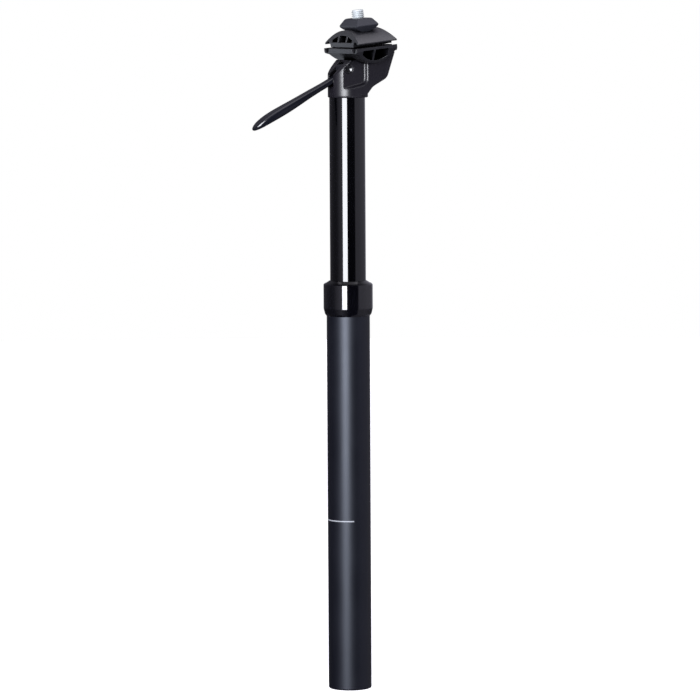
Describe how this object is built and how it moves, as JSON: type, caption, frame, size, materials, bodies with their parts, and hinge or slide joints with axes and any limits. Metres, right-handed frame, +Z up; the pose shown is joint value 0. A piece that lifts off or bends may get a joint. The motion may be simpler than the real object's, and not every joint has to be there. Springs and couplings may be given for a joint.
{
  "type": "dropper seatpost",
  "caption": "Telescoping bicycle seatpost: a round post in a wider tube with a seal collar, a set-back head, a two-rail saddle clamp and a release lever under its nose.",
  "frame": {"origin": "on the post's axis at the underside of the seal collar, where the insertable tube begins", "axes": "+Z up along the post, +X towards the rear of the bicycle, +Y to its left"},
  "size_m": [0.0917, 0.0548, 0.4289],
  "materials": {
    "post_black": "satin black anodised",
    "bushing_plastic": "matt dark grey",
    "gloss_black": "gloss black anodised",
    "foam": "open cell, oiled",
    "seal_rubber": "matt black",
    "brass": "plain",
    "zinc_steel": "zinc plated",
    "raw_aluminium": "turned",
    "bright_steel": "ground and polished",
    "head_black": "satin black",
    "clamp_grey": "satin dark grey anodised"
  },
  "bodies": {
    "lower_post": {"outer_tube": "post_black", "upper_bushing": "bushing_plastic", "seal_collar": "gloss_black", "foam_ring": "foam", "wiper_seal": "seal_rubber", "base_circlip": "zinc_steel", "base_plug": "raw_aluminium", "rod_washer": "zinc_steel", "rod_nut": "zinc_steel", "piston_rod": "bright_steel", "piston": "raw_aluminium", "piston_ring": "seal_rubber"},
    "upper_post": {"stanchion": "gloss_black", "lower_bushing": "bushing_plastic", "anti_rotation_keys": "brass", "cartridge_circlip": "zinc_steel", "gas_cylinder": "raw_aluminium", "oil_tube": "raw_aluminium", "rod_guide": "raw_aluminium", "rod_seal": "seal_rubber", "topout_bumper": "seal_rubber", "valve_block": "raw_aluminium", "valve_pin_seal": "seal_rubber", "centring_ring": "bushing_plastic", "seat_head": "head_black", "lever_pivot_screw": "zinc_steel"},
    "release_lever": {"lever": "head_black", "adjuster_screw": "zinc_steel", "adjuster_locknut": "zinc_steel"},
    "pushed_pin": {"valve_pin": "bright_steel"},
    "gas_divider": {"floating_piston": "raw_aluminium", "floating_piston_rings": "seal_rubber"},
    "saddle_cradle": {"lower_clamp": "clamp_grey", "half_round_washer": "zinc_steel"},
    "clamping_bolt": {"clamp_bolt": "zinc_steel"},
    "rail_cap": {"upper_clamp": "clamp_grey", "barrel_nut": "clamp_grey"}
  },
  "joints": [
    {"name": "post_slide", "type": "slide", "parent": "lower_post", "child": "upper_post", "axis": [0, 0, 1], "range_m": [-0.1, 0], "stiffness_N_per_m": 200, "springref_m": 0.4},
    {"name": "lever_pull", "type": "hinge", "parent": "upper_post", "child": "release_lever", "pos_m": [-0.0031, 0, 0.155], "axis": [0, 1, 0], "range_deg": [0, 24], "stiffness_Nm_per_rad": 0.3, "springref_deg": -28.65},
    {"name": "valve_pin_push", "type": "slide", "parent": "upper_post", "child": "pushed_pin", "axis": [0, 0, 1], "range_m": [-0.0013, 0]},
    {"name": "floating_piston_slide", "type": "slide", "parent": "upper_post", "child": "gas_divider", "axis": [0, 0, 1], "range_m": [-0.1, 0]},
    {"name": "clamp_tilt", "type": "hinge", "parent": "upper_post", "child": "saddle_cradle", "pos_m": [0.0093, 0, 0.1734], "axis": [0, 1, 0], "range_deg": [-18, 2.3]},
    {"name": "bolt_turn", "type": "hinge", "parent": "saddle_cradle", "child": "clamping_bolt", "pos_m": [0.0093, 0, 0.1734], "axis": [0.1097, 0, -0.994], "range_deg": [0, 1082]},
    {"name": "clamp_lift", "type": "slide", "parent": "saddle_cradle", "child": "rail_cap", "axis": [-0.1097, 0, 0.994], "range_m": [0, 0.00375]}
  ],
  "couplings": [
    {"joint": "valve_pin_push", "follows": "lever_pull", "m_per_rad": -0.003},
    {"joint": "floating_piston_slide", "follows": "post_slide", "ratio": 0.99},
    {"joint": "bolt_turn", "follows": "clamp_lift", "rad_per_m": 5026.5}
  ]
}
